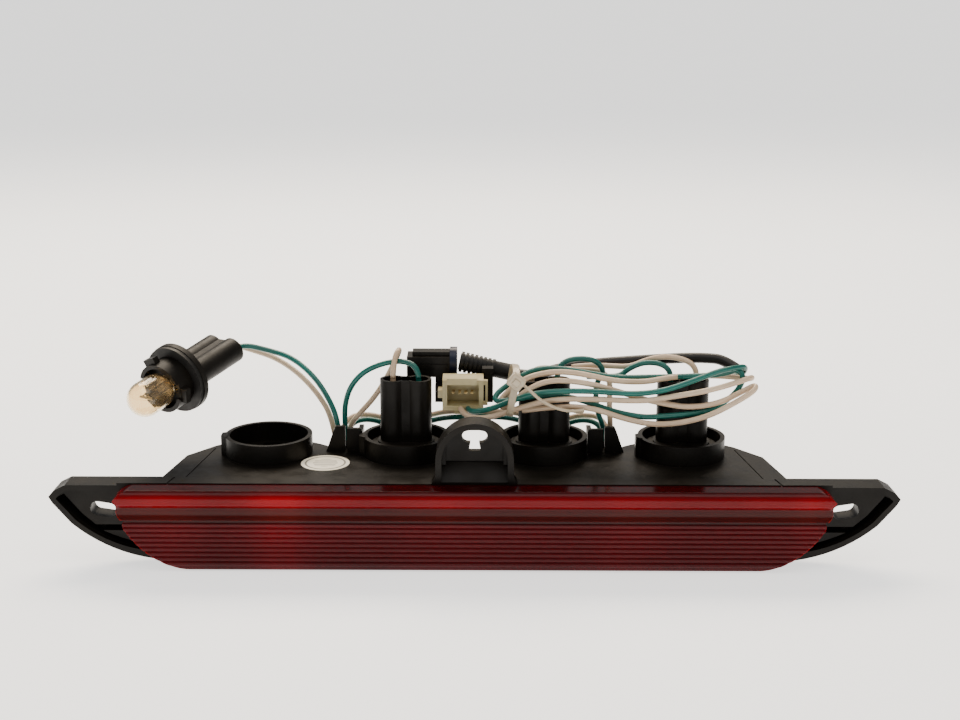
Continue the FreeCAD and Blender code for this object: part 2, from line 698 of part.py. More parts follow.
def make_wire_seals(n):
    """The rubber plugs in the two tubes of the boot, around the wires."""
    rings, holes = [], []
    low = "Params.boot_high - Params.boot_mouth"
    for side in (-1, 1):
        x = f"{side} * Params.boot_offset"
        rings.append(tube_between(f"seal_ring_{n}", "Params.boot_bore_r", low, low + " + 3.5", x))
        holes.append(tube_between(f"seal_hole_{n}", "Params.wire_r", low + " - 1", low + " + 5", x))
    return cut(f"wire_seals_{n}", fuse(f"seal_rings_{n}", rings), fuse(f"seal_holes_{n}", holes))


def loose_axes():
    """Directions of the loose socket: its boot, and the way from its white to its green wire."""
    turn, lift = math.radians(P["loose_turn"]), math.radians(P["loose_lift"])
    boot = V(math.cos(turn) * math.cos(lift), math.sin(turn) * math.cos(lift), math.sin(lift))
    across = V(math.sin(turn), -math.cos(turn), 0)
    return boot, across


def place_socket_piece(piece, n):
    """Put a piece of socket n at its port; socket 1 lies loose in the air on its wires."""
    if n > 1:
        bind(piece, Placement__Base__x=f"({n} - 2.5) * Params.lobe_pitch")
        bind(piece, Placement__Base__y="Params.rear_y - Params.port_depth", Placement__Base__z="Params.wall_top")
        return
    boot, across = loose_axes()
    piece.Placement.Rotation = FreeCAD.Rotation(across, boot.cross(across), boot, "ZXY")
    bind(piece, Placement__Base__x="Params.loose_x", Placement__Base__z="Params.loose_z")
    bind(piece, Placement__Base__y="Params.rear_y - Params.loose_depth")


for n in range(1, 5):
    pieces = [make_socket(n), make_gasket(n), make_bulb(n), make_filament(n), make_contacts(n)]
    for piece in pieces + [make_wire_seals(n)]:
        place_socket_piece(piece, n)
        named(piece, piece.Name)


# ---------------------------------------------------------------- wires and the cable
def cord(label, points, radius):
    """A tube of straight runs joined by tangent arcs, through hand-chosen corner points."""
    spots = [V(*p) for p in points]
    start, edges, radii = spots[0], [], []
    for before, corner, after in zip(spots, spots[1:], spots[2:]):
        back, ahead = before - corner, after - corner
        reach = 0.45 * min(back.Length, ahead.Length)
        half_turn = (math.pi - back.getAngle(ahead)) / 2
        radii.append(reach / math.tan(half_turn))
        back.normalize()
        ahead.normalize()
        first, last = corner + back * reach, corner + ahead * reach
        inward = back + ahead
        inward.normalize()
        sag = reach / math.tan(half_turn) * (1 / math.cos(half_turn) - 1)
        edges.append(Part.LineSegment(start, first).toShape())
        edges.append(Part.Arc(first, corner + inward * sag, last).toShape())
        start = last
    edges.append(Part.LineSegment(start, spots[-1]).toShape())
    wire = Part.Wire(edges)
    circle_edge = Part.makeCircle(radius, spots[0], spots[1] - spots[0])
    tube = wire.makePipeShell([Part.Wire([circle_edge])], True, False)
    if abs(tube.Volume / (math.pi * radius**2 * wire.Length) - 1) > 0.02:
        raise RuntimeError(f"{label}: the tube's volume is wrong")
    print(label, "length", round(wire.Length, 1), "smallest radius", round(min(radii), 1))
    thing = doc.addObject("Part::Feature", label)
    thing.Shape = tube
    at_rear(thing)
    return named(thing, label)


def boot_exit(n, side):
    """Where the wire leaves the boot: side -1 for white, +1 for green."""
    gap = 0.0 if n == 1 else P["wire_gap"]
    if n == 1:
        boot, across = loose_axes()
        base = V(P["loose_x"], -P["loose_depth"], P["loose_z"])
        spot = base + boot * (P["boot_high"] + gap) + across * (side * P["boot_offset"])
        return tuple(spot)
    return (PORTS[n - 1] + side * P["boot_offset"], -P["port_depth"], P["wall_top"] + P["boot_high"] + gap)


def along_boot(distance, side):
    """A point on a wire of the loose socket, straight out of the boot."""
    boot, across = loose_axes()
    return tuple(V(*boot_exit(1, side)) + boot * distance)


def make_wire_end(n, side):
    """The end of one wire, inside the boot. The last socket has its two wires the other way round."""
    name = "white" if (side < 0) != (n == 4) else "green"
    thing = cylinder(f"wire_end_{name}_{n}", "Params.wire_r", "Params.boot_mouth")
    boot, across = loose_axes() if n == 1 else (V(0, 0, 1), V(1, 0, 0))
    mouth = V(*boot_exit(n, side)) - boot * (0.0 if n == 1 else P["wire_gap"])
    place = mouth - boot * P["boot_mouth"]
    thing.Placement = FreeCAD.Placement(place, FreeCAD.Rotation(across, boot.cross(across), boot, "ZXY"))
    bind(thing, Placement__Base__y=f"Params.rear_y + {place.y}")
    named(thing, thing.Name)


for n in range(1, 5):
    make_wire_end(n, -1)
    make_wire_end(n, 1)

WIRE = P["wire_r"]
cord("wire_1_green", [
    boot_exit(1, 1), along_boot(6.0, 1), (-92.0, 9.0, 74.6), (-81.4, 5.0, 72.4), (-71.0, -2.4, 65.8),
    (-64.0, -7.6, 56.6), (-60.2, -9.6, 47.4), (-59.8, -9.2, 38.6)], WIRE)
cord("wire_1_white", [
    boot_exit(1, -1), along_boot(5.5, -1), (-100.0, 17.4, 72.4), (-89.0, 12.4, 70.0), (-78.4, 4.8, 65.0),
    (-69.4, -2.0, 57.4), (-63.4, -5.8, 48.4), (-61.8, -6.6, 38.6)], WIRE)
cord("wire_2_green", [
    boot_exit(2, 1), (-24.6, -18.8, 74.6), (-31.6, -15.8, 76.6), (-40.6, -14.6, 74.8), (-49.0, -13.4, 70.4),
    (-54.6, -12.4, 63.4), (-57.0, -11.0, 55.0), (-57.2, -9.8, 46.6), (-57.0, -9.2, 38.6)], WIRE)
cord("wire_2_white", [
    boot_exit(2, -1), (-34.9, -18.6, 78.2), (-32.4, -12.6, 81.6), (-34.4, -7.0, 75.4), (-38.6, -6.6, 66.6),
    (-44.0, -7.0, 57.8), (-51.0, -7.2, 50.0), (-55.6, -7.0, 44.6), (-55.8, -7.0, 38.6)], WIRE)
cord("trunk_green", [
    (-57.2, -4.4, 38.6), (-56.0, -3.6, 44.6), (-47.0, 1.4, 45.6), (-36.0, 2.6, 40.6), (-25.4, 2.8, 42.0),
    (-15.4, -4.4, 47.4), (-5.2, -12.0, 50.2), (5.6, -12.0, 50.4), (15.6, -4.4, 47.6), (25.6, 2.8, 42.4),
    (36.0, 2.6, 40.6), (47.0, 1.4, 45.6), (56.0, -3.6, 44.6), (57.2, -4.4, 38.6)], WIRE)
cord("trunk_white", [
    (-59.6, -3.9, 38.6), (-58.0, -1.0, 46.4), (-48.0, 4.0, 47.0), (-36.4, 5.2, 43.0), (-24.6, 5.4, 44.2),
    (-14.6, -1.8, 49.6), (-4.8, -9.4, 51.8), (5.8, -9.4, 51.8), (16.0, -1.8, 49.8), (26.0, 5.4, 44.4),
    (36.6, 5.2, 43.0), (48.0, 4.0, 47.0), (58.0, -1.0, 46.4), (59.6, -3.9, 38.6)], WIRE)
cord("drop_green", [
    (52.4, -11.0, 69.7), (52.6, -11.0, 60.4), (53.6, -10.6, 52.0), (56.6, -9.4, 44.6), (57.0, -9.2, 38.6)], WIRE)
cord("drop_white", [
    (58.6, -11.0, 69.7), (58.6, -11.0, 60.4), (59.0, -10.4, 50.4), (59.6, -9.4, 44.0), (59.6, -9.2, 38.6)], WIRE)
cord("lead_green", [
    (23.7, -33.4, 62.2), (16.4, -32.6, 61.0), (8.6, -31.4, 59.4), (2.0, -30.2, 58.0), (-2.2, -27.4, 57.2),
    (-3.0, -22.35, 57.0)], WIRE)
cord("lead_white", [
    (23.7, -33.4, 59.2), (16.0, -33.6, 57.8), (8.2, -32.8, 56.4), (1.4, -31.6, 55.2), (-4.4, -28.2, 55.6),
    (-6.2, -22.45, 57.0)], WIRE)
cord("cable_sleeve", [
    (17.5, -0.46, 66.93), (25.0, -0.7, 65.4), (36.0, -2.4, 69.8), (52.0, -3.6, 72.4), (72.0, -4.0, 74.0),
    (90.0, -3.6, 75.0), (102.0, -3.2, 74.8), (109.6, -3.4, 74.2), (115.2, -6.0, 73.4)], P["sleeve_r"])
for name, side in (("splice_left", -1), ("splice_right", 1)):
    splice = cylinder(name, "4.5", "8.2", Placement__Base__x=str(side * 58.6), Placement__Base__z="30.4")
    bind(splice, Placement__Base__y="Params.rear_y - 6.6")
    named(splice, name)


# ---------------------------------------------------------------- hank and cable tie
def make_hank():
    """The space that the tied wires fill on top of boots 3 and 4 and in front of them."""
    body = new_body("hank")
    at_rear(body)
    side = sketch_on(body, "YZ_Plane", "section", "24")
    section = [(-36.0, 53.4), (-31.0, 53.4), (-31.0, 69.7), (-8.0, 69.7), (-8.0, 77.4), (-34.6, 77.4), (-36.0, 72.0)]
    outline(side, section)
    pad(body, side, "99")
    neck = sketch_on(body, "YZ_Plane", "neck", "10")
    outline(neck, [(-31.6, 66.0), (-20.0, 66.0), (-20.0, 73.6), (-31.6, 73.6)])
    pad(body, neck, "8.2")
    join = sketch_on(body, "YZ_Plane", "join", "18")
    outline(join, [(-31.6, 70.4), (-20.0, 70.4), (-20.0, 73.6), (-31.6, 73.6)])
    pad(body, join, "6.4")
    # the rounded right end
    ends = sketch_on(body, "XZ_Plane", "right_end", "40")
    outline(ends, [(123.5, 52.0), (123.5, 79.0), (109.0, 79.0), (121.6, 66.4, 119.6, 73.6), (109.0, 52.0, 119.2, 57.8)])
    pocket(body, ends, "60")


make_hank()


def make_tie():
    """The loop of the tie around the bundle, its head, and its free tail in front."""
    body = new_body("cable_tie")
    at_rear(body)
    loop = sketch_on(body, "YZ_Plane", "loop", "12.0")
    outline(loop, [(-33.2, 64.4), (-18.4, 64.4), (-18.4, 75.2), (-33.2, 75.2)])
    pad(body, loop, "3.6")
    inner = sketch_on(body, "YZ_Plane", "inner", "11.0")
    outline(inner, [(-31.7, 65.9), (-19.9, 65.9), (-19.9, 73.7), (-31.7, 73.7)])
    pocket(body, inner, "6", back=True)
    head = sketch_on(body, "XZ_Plane", "head", "33.0")
    outline(head, [(14.6, 65.6), (20.6, 67.8), (18.0, 74.4), (12.0, 72.2)])
    pad(body, head, "4.6")
    tail = sketch_on(body, "XZ_Plane", "tail", "36.3")
    outline(tail, [
        (18.0, 69.0), (31.6, 60.0, 24.4, 63.2), (40.6, 57.2, 36.0, 58.0), (41.0, 60.2), (32.6, 63.0, 36.8, 61.2),
        (20.2, 71.4, 26.0, 66.4)])
    pad(body, tail, "Params.tie_wall")


make_tie()


# ---------------------------------------------------------------- connector, holder and plug
def boxes(name, corners):
    """Blocks from two opposite corners each, fused when there are more than one."""
    made = []
    for n, (low, high) in enumerate(corners):
        thing = block(f"{name}_{n}", *[str(high[k] - low[k]) for k in range(3)])
        thing.Placement.Base = V(*low)
        made.append(thing)
    return made[0] if len(made) == 1 else fuse(name, made)


def make_connector():
    """The cream shell: an open box facing the lens side, with a hood above and a catch beside."""
    outer = [((-14.0, -22.0, 56.0), (3.6, -10.4, 69.4)), ((-12.0, -24.6, 68.0), (0.6, -18.0, 70.8)),
             ((-16.0, -20.0, 61.0), (-13.6, -14.0, 64.4)), ((-9.0, -21.0, 54.2), (1.6, -12.0, 56.4))]
    cavity = [((-12.0, -23.0, 58.0), (1.6, -12.4, 67.4))]
    body = cut("connector", boxes("connector_outer", outer), boxes("connector_cavity", cavity))
    at_rear(body)
    return named(body, "connector")


def make_terminals():
    """Four short blades standing on the bottom of the cavity."""
    parts = []
    for n in range(4):
        x = -10.0 + 2.7 * n
        parts.append(((x, -16.6, 62.0), (x + 1.2, -12.4, 62.6)))
    body = boxes("connector_terminals", parts)
    at_rear(body)
    return named(body, "connector_terminals")


def make_latch():
    """A catch standing on the right side of the connector."""
    parts = [((4.4, -20.6, 58.0), (5.4, -18.6, 69.0)), ((3.6, -20.6, 58.0), (5.4, -18.6, 59.4)),
             ((3.6, -20.6, 67.0), (5.4, -18.6, 69.0))]
    body = boxes("connector_latch", parts)
    at_rear(body)
    return named(body, "connector_latch")


def make_holder():
    """The black block behind the connector, with a rail under the plug and guides beside it."""
    parts = [((-17.5, -10.4, 56.4), (7.8, 0.6, 64.0)), ((3.0, -10.4, 56.4), (7.8, -5.4, 71.6)),
             ((-17.5, -6.0, 56.4), (-12.0, 0.6, 66.4))]
    body = boxes("connector_holder", parts)
    at_rear(body)
    return named(body, "connector_holder")


def make_plug():
    """The body of the plug: a long ribbed block with a key along its top."""
    parts = [((-30.0, -5.6, 66.4), (-11.2, 5.6, 75.4)), ((-27.6, -3.4, 75.4), (-11.2, 3.4, 77.2)),
             ((-28.6, -6.2, 70.8), (-12.4, 6.2, 72.2))]
    body = boxes("plug_body", parts)
    at_rear(body)
    named(body, "plug_body")
    ring = cylinder("plug_ring", "6.1", "3.2")
    ring.Placement = FreeCAD.Placement(V(-11.2, 0, 72.6), FreeCAD.Rotation(V(0, 1, 0), 90))
    at_rear(ring)
    named(ring, "plug_ring")


def make_relief():
    """The ribbed strain relief: a sleeve with rings along it, running down to the right."""
    steps = [cylinder("relief_core", "3.7", "25.0")]
    for n in range(8):
        steps.append(cylinder(f"relief_ring_{n}", f"{4.6 - 0.05 * n}", "1.3", Placement__Base__z=str(0.4 + 2.0 * n)))
    sleeve = fuse("strain_relief", steps)
    lean = FreeCAD.Rotation(V(0, 0, 1), V(21.4, -0.4, -4.6))
    sleeve.Placement = FreeCAD.Placement(V(-7.0, 0, 72.2), lean)
    at_rear(sleeve)
    return named(sleeve, "strain_relief")


for make in (make_connector, make_terminals, make_latch, make_holder, make_plug, make_relief):
    make()


# ---------------------------------------------------------------- checking and writing
doc.recompute()
for thing in doc.Objects:
    if "Invalid" in thing.State or "Error" in thing.State:
        raise RuntimeError(f"{thing.Name} ({thing.Label}) failed: {thing.State}")
for piece in PIECES:
    if piece.Shape.isNull() or not piece.Shape.isValid():
        raise RuntimeError(f"{piece.Label} has no valid shape")
    piece.Shape.exportStep(f"parts/{piece.Label}.step")
    box = piece.Shape.BoundBox
    print(piece.Label, len(piece.Shape.Solids), round(piece.Shape.Volume), box)
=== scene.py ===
import json
import math

import bpy
from mathutils import Matrix, Vector


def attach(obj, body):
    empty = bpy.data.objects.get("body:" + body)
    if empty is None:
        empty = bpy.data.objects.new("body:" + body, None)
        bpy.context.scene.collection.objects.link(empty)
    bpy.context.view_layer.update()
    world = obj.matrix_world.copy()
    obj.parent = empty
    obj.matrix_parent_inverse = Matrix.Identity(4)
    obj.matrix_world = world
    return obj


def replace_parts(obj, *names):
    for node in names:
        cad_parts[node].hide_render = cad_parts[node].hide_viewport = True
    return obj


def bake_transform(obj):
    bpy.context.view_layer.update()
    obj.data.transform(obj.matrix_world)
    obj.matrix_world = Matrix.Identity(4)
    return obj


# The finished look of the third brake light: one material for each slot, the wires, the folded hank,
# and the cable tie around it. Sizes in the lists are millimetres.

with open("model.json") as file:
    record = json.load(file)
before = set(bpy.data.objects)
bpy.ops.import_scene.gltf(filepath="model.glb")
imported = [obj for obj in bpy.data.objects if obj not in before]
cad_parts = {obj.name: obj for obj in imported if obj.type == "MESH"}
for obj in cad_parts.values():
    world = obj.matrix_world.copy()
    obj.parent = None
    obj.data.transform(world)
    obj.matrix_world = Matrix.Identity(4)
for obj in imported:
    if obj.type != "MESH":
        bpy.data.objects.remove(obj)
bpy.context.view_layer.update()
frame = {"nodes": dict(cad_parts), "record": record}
NODES = frame["nodes"]

MM = 0.001
REAR_Y = 30.5  # Y of the rearmost line of the lobes; the lists below measure Y from that line
WIRE_R = 1.2  # radius
SLEEVE_R = 2.3
PORT_X = [-89.4, -29.8, 29.8, 89.4]
PORT_Y = -19.2
STICKER_MIDDLE = (-63.6, -34.2, 36.0)
STICKER_R = 10.3
MOUTH_Z = 69.4  # the mouths of the boots that stand in their ports
BOOT_OFFSET = 5.5  # each boot has two wire mouths, this far to either side of its middle
CAMERA_SPOT = (2.05, -644.2, 237.85)
CAMERA_LENS = 56.5
CAMERA_DOWN = 14.37  # degrees below the horizon
CAMERA_ROLL = 0.2


def at(x, y, z):
    """A point in metres, from millimetres whose Y starts at the rearmost line of the lobes."""
    return Vector((x, y + REAR_Y, z)) * MM


# ---------------------------------------------------------------- camera
def add_camera():
    data = bpy.data.cameras.new("camera")
    data.sensor_width = 36.0
    data.lens = CAMERA_LENS
    camera = bpy.data.objects.new("camera", data)
    bpy.context.collection.objects.link(camera)
    tilt = Matrix.Rotation(math.radians(90 - CAMERA_DOWN), 4, "X")
    roll = Matrix.Rotation(math.radians(CAMERA_ROLL), 4, "Z")
    camera.matrix_world = Matrix.Translation(at(*CAMERA_SPOT)) @ tilt @ roll
    bpy.context.scene.camera = camera


add_camera()


# ---------------------------------------------------------------- material tools
def new_material(name):
    material = bpy.data.materials.new(name)
    material.use_nodes = True
    tree = material.node_tree
    shader = tree.nodes["Principled BSDF"]
    return material, tree, shader


def coordinates(tree, scale=(1, 1, 1)):
    """Object coordinates in metres, stretched by scale."""
    place = tree.nodes.new("ShaderNodeTexCoord")
    mapping = tree.nodes.new("ShaderNodeMapping")
    mapping.inputs["Scale"].default_value = scale
    tree.links.new(place.outputs["Object"], mapping.inputs["Vector"])
    return mapping.outputs["Vector"]


def noise(tree, vector, scale, detail=4.0):
    node = tree.nodes.new("ShaderNodeTexNoise")
    node.inputs["Scale"].default_value = scale
    node.inputs["Detail"].default_value = detail
    tree.links.new(vector, node.inputs["Vector"])
    return node.outputs["Fac"]


def ramp(tree, value, stops):
    """A colour ramp; stops are (position, (r, g, b)) or (position, grey)."""
    node = tree.nodes.new("ShaderNodeValToRGB")
    band = node.color_ramp
    while len(band.elements) < len(stops):
        band.elements.new(0.5)
    for element, (where, colour) in zip(band.elements, stops):
        grey = isinstance(colour, float)
        element.position = where
        element.color = (colour, colour, colour, 1) if grey else (*colour, 1)
    tree.links.new(value, node.inputs["Fac"])
    return node.outputs["Color"]


def bump(tree, shader, height, strength, depth):
    node = tree.nodes.new("ShaderNodeBump")
    node.inputs["Strength"].default_value = strength
    node.inputs["Distance"].default_value = depth
    tree.links.new(height, node.inputs["Height"])
    tree.links.new(node.outputs["Normal"], shader.inputs["Normal"])


def moulded(name, dark, light, rough, grain=900.0, coat=0.0, dust=0.0, shine=0.5):
    """Moulded plastic or rubber: mottled colour, uneven gloss, fine grain, and dust on request."""
    material, tree, shader = new_material(name)
    vector = coordinates(tree)
    wide = noise(tree, vector, 55.0, 6.0)
    colour = ramp(tree, wide, [(0.3, dark), (0.72, light)])
    if dust:
        specks = ramp(tree, noise(tree, vector, 1600.0, 2.0), [(0.70, 0.0), (0.78, dust)])
        mix = tree.nodes.new("ShaderNodeMix")
        mix.data_type = "RGBA"
        tree.links.new(specks, mix.inputs["Factor"])
        tree.links.new(colour, mix.inputs["A"])
        mix.inputs["B"].default_value = (0.30, 0.27, 0.22, 1)
        colour = mix.outputs["Result"]
    tree.links.new(colour, shader.inputs["Base Color"])
    gloss = ramp(tree, noise(tree, vector, 140.0, 5.0), [(0.3, rough * 0.8), (0.7, min(1.0, rough * 1.25))])
    tree.links.new(gloss, shader.inputs["Roughness"])
    bump(tree, shader, noise(tree, vector, grain, 3.0), 0.25, 0.00012)
    shader.inputs["Specular IOR Level"].default_value = shine
    shader.inputs["Coat Weight"].default_value = coat
    shader.inputs["Coat Roughness"].default_value = 0.12
    return material


def metal(name, dark, light, rough, stretch=(1, 1, 1)):
    material, tree, shader = new_material(name)
    vector = coordinates(tree, stretch)
    colour = ramp(tree, noise(tree, vector, 200.0), [(0.3, dark), (0.7, light)])
    tree.links.new(colour, shader.inputs["Base Color"])
    gloss = ramp(tree, noise(tree, vector, 420.0), [(0.3, rough * 0.7), (0.7, rough * 1.3)])
    tree.links.new(gloss, shader.inputs["Roughness"])
    shader.inputs["Metallic"].default_value = 1.0
    bump(tree, shader, noise(tree, vector, 600.0), 0.15, 0.0001)
    return material


def mixed(tree, first, second, blend="MULTIPLY", factor=1.0):
    """Two colours blended; the factor is a number or another node's output."""
    mix = tree.nodes.new("ShaderNodeMix")
    mix.data_type = "RGBA"
    mix.blend_type = blend
    if isinstance(factor, float):
        mix.inputs["Factor"].default_value = factor
    else:
        tree.links.new(factor, mix.inputs["Factor"])
    tree.links.new(first, mix.inputs["A"])
    tree.links.new(second, mix.inputs["B"])
    return mix.outputs["Result"]


def along(tree, axis, low, high):
    """0 to 1 along one axis of the lamp, between two places in metres."""
    place = tree.nodes.new("ShaderNodeTexCoord")
    split = tree.nodes.new("ShaderNodeSeparateXYZ")
    tree.links.new(place.outputs["Object"], split.inputs["Vector"])
    span = tree.nodes.new("ShaderNodeMapRange")
    span.inputs["From Min"].default_value = low
    span.inputs["From Max"].default_value = high
    tree.links.new(split.outputs[axis], span.inputs["Value"])
    return span.outputs["Result"]


def lens_red():
    """Red lens with painted light and shade in bands along Z: a bright painted lit nose, a browner smooth
    band below it, a dark painted shaded groove under that, a darker shaded ribbed panel, and a dark painted
    shaded top edge.
    """
    material, tree, shader = new_material("red_lens")
    # painted light and shade, from the bottom up: a darker shaded ribbed panel, a dark shaded groove, a
    # browner band, a bright lit nose and a dark shaded top edge
    painted_lens_bands = [
        (0.00, (0.115, 0.0002, 0.0026)),
        (0.58, (0.165, 0.0002, 0.0036)),
        (0.62, (0.060, 0.0008, 0.0012)),
        (0.66, (0.120, 0.0060, 0.0036)),
        (0.79, (0.110, 0.0045, 0.0030)),
        (0.82, (0.290, 0.0003, 0.0050)),
        (0.93, (0.390, 0.0004, 0.0070)),
        (1.00, (0.060, 0.0003, 0.0016)),
    ]
    colour = ramp(tree, along(tree, "Z", 0.0, 0.036), painted_lens_bands)
    cloud = ramp(tree, noise(tree, coordinates(tree, (1, 1, 3)), 26.0, 3.0), [(0.3, 0.78), (0.7, 1.0)])
    # painted light: the base colour is brightened in patches along X where the chambers behind the lens shine
    # through, most of all the one below the open port
    painted_chamber_light = [
        (0.0, 0.62), (0.07, 0.80), (0.14, 0.56), (0.18, 0.66), (0.215, 1.0), (0.245, 0.96), (0.28, 0.62),
        (0.38, 0.54), (0.46, 0.70), (0.54, 0.56), (0.66, 0.58), (0.70, 0.70), (0.80, 0.54), (0.93, 0.60),
        (0.965, 0.80), (1.0, 0.62)]
    painted_glow = ramp(tree, along(tree, "X", -0.1456, 0.1456), painted_chamber_light)
    tree.links.new(mixed(tree, mixed(tree, colour, cloud), painted_glow), shader.inputs["Base Color"])
    shader.inputs["Roughness"].default_value = 0.16
    shader.inputs["Specular IOR Level"].default_value = 0.05
    shader.inputs["Transmission Weight"].default_value = 0.25
    shader.inputs["Subsurface Weight"].default_value = 0.35
    shader.inputs["Subsurface Radius"].default_value = (0.004, 0.0005, 0.0003)
    shader.inputs["Subsurface Scale"].default_value = 1.0
    bump(tree, shader, noise(tree, coordinates(tree), 70.0, 2.0), 0.08, 0.0004)
    return material


def round_label():
    """White paper with a plain printed ring and a few bars across its middle."""
    material, tree, shader = new_material("paper")
    place = tree.nodes.new("ShaderNodeTexCoord")
    away = tree.nodes.new("ShaderNodeVectorMath")
    away.operation = "DISTANCE"
    away.inputs[1].default_value = at(*STICKER_MIDDLE)
    tree.links.new(place.outputs["Object"], away.inputs[0])
    reach = tree.nodes.new("ShaderNodeMapRange")
    reach.inputs["From Max"].default_value = STICKER_R * MM
    tree.links.new(away.outputs["Value"], reach.inputs["Value"])
    ring = ramp(tree, reach.outputs["Result"], [(0.76, 1.0), (0.78, 0.25), (0.84, 0.25), (0.86, 1.0)])
    inside = ramp(tree, reach.outputs["Result"], [(0.50, 1.0), (0.52, 0.0)])
    bars = tree.nodes.new("ShaderNodeTexWave")
    bars.bands_direction = "Y"
    bars.inputs["Scale"].default_value = 120.0
    tree.links.new(place.outputs["Object"], bars.inputs["Vector"])
    stripes = ramp(tree, bars.outputs["Fac"], [(0.55, 1.0), (0.62, 0.35)])
    fibres = noise(tree, coordinates(tree), 60.0)
    paper = ramp(tree, fibres, [(0.3, (0.80, 0.73, 0.58)), (0.7, (0.94, 0.89, 0.76))])
    colour = mixed(tree, mixed(tree, paper, ring), stripes, factor=inside)
    tree.links.new(colour, shader.inputs["Base Color"])
    shader.inputs["Roughness"].default_value = 0.75
    bump(tree, shader, noise(tree, coordinates(tree), 1400.0), 0.2, 0.0001)
    return material


def clear_glass():
    material, tree, shader = new_material("clear_glass")
    vector = coordinates(tree)
    tint = ramp(tree, noise(tree, vector, 45.0), [(0.3, (0.96, 0.76, 0.48)), (0.7, (1.0, 0.86, 0.62))])
    tree.links.new(tint, shader.inputs["Base Color"])
    shader.inputs["Transmission Weight"].default_value = 0.96
    shader.inputs["IOR"].default_value = 1.45
    gloss = ramp(tree, noise(tree, vector, 260.0), [(0.35, 0.015), (0.75, 0.06)])
    tree.links.new(gloss, shader.inputs["Roughness"])
    return material


def nylon(name, dark, light, rough, through):
    """Milky nylon that lets a little light through."""
    material = moulded(name, dark, light, rough, grain=500.0, coat=0.2)
    shader = material.node_tree.nodes["Principled BSDF"]
    shader.inputs["Subsurface Weight"].default_value = through
    shader.inputs["Subsurface Radius"].default_value = (0.002, 0.0016, 0.001)
    return material


MATERIALS = {
    "black_plastic": moulded("black_plastic", (0.0036, 0.0028, 0.0020), (0.0088, 0.0070, 0.0050), 0.38,
                             dust=0.04, shine=0.14),
    "blue_black_plastic": moulded("blue_black_plastic", (0.003, 0.006, 0.020), (0.008, 0.012, 0.034), 0.34,
                                  shine=0.3),
    "bright_metal": metal("bright_metal", (0.62, 0.60, 0.56), (0.80, 0.78, 0.74), 0.12),
    "red_lens": lens_red(),
    "clear_sealant": moulded("clear_sealant", (0.35, 0.32, 0.28), (0.55, 0.52, 0.48), 0.30),
    "paper": round_label(),
    "cream_nylon": nylon("cream_nylon", (0.46, 0.38, 0.19), (0.62, 0.54, 0.31), 0.38, 0.12),
    "clear_nylon": nylon("clear_nylon", (0.50, 0.40, 0.27), (0.66, 0.56, 0.41), 0.30, 0.25),
    "brass": metal("brass", (0.52, 0.36, 0.14), (0.74, 0.56, 0.27), 0.28),
    "black_rubber": moulded("black_rubber", (0.005, 0.0045, 0.004), (0.011, 0.010, 0.009), 0.55, grain=1300.0,
                            shine=0.3),
    "black_sleeve": moulded("black_sleeve", (0.005, 0.0042, 0.0036), (0.013, 0.011, 0.0095), 0.40,
                            grain=700.0, shine=0.35),
    "green_wire": moulded("green_wire", (0.0, 0.088, 0.070), (0.0, 0.150, 0.122), 0.30, grain=380.0,
                          coat=0.1),
    "white_wire": moulded("white_wire", (0.52, 0.37, 0.24), (0.74, 0.57, 0.41), 0.36, grain=380.0,
                          coat=0.1),
    "clear_glass": clear_glass(),
    "filament": metal("filament", (0.30, 0.29, 0.27), (0.50, 0.48, 0.45), 0.35),
}

for part in frame["record"]["subparts"]:
    node = NODES[part["node"]]
    for place in node.material_slots:
        place.material = MATERIALS[part["material_slot"]]


def finish_piece(obj, material, body="lamp"):
    """Give a new piece its material and slot, and let it ride on a body when one is given."""
    obj.data.materials.append(MATERIALS[material])
    if body:
        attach(obj, body)
    return obj


def mesh_object(name, vertices, faces):
    """A new mesh object in the scene."""
    mesh = bpy.data.meshes.new(name)
    mesh.from_pydata(vertices, [], faces)
    obj = bpy.data.objects.new(name, mesh)
    bpy.context.collection.objects.link(obj)
    return obj


# ---------------------------------------------------------------- wires
def nurbs(name, points, radius):
    """An open round NURBS curve through given control points, in millimetres."""
    data = bpy.data.curves.new(name, "CURVE")
    data.dimensions = "3D"
    spline = data.splines.new("NURBS")
    spline.points.add(len(points) - 1)
    for point, spot in zip(spline.points, points):
        point.co = (*at(*spot), 1.0)
    spline.order_u = 3
    spline.use_endpoint_u = True
    spline.resolution_u = 10
    data.bevel_depth = radius * MM
    data.bevel_resolution = 5
    data.use_fill_caps = True
    obj = bpy.data.objects.new(name, data)
    bpy.context.collection.objects.link(obj)
    return obj


def line_of(points):
    """The points that the evaluated curve runs through, in metres."""
    bare = nurbs("measure", points, 0.0)
    bare.data.use_fill_caps = False
    bpy.context.view_layer.update()
    mesh = bpy.data.meshes.new_from_object(bare.evaluated_get(bpy.context.evaluated_depsgraph_get()))
    line = [v.co.copy() for v in mesh.vertices]
    bpy.data.objects.remove(bare)
    return line


def length_of(line):
    return sum((b - a).length for a, b in zip(line, line[1:]))


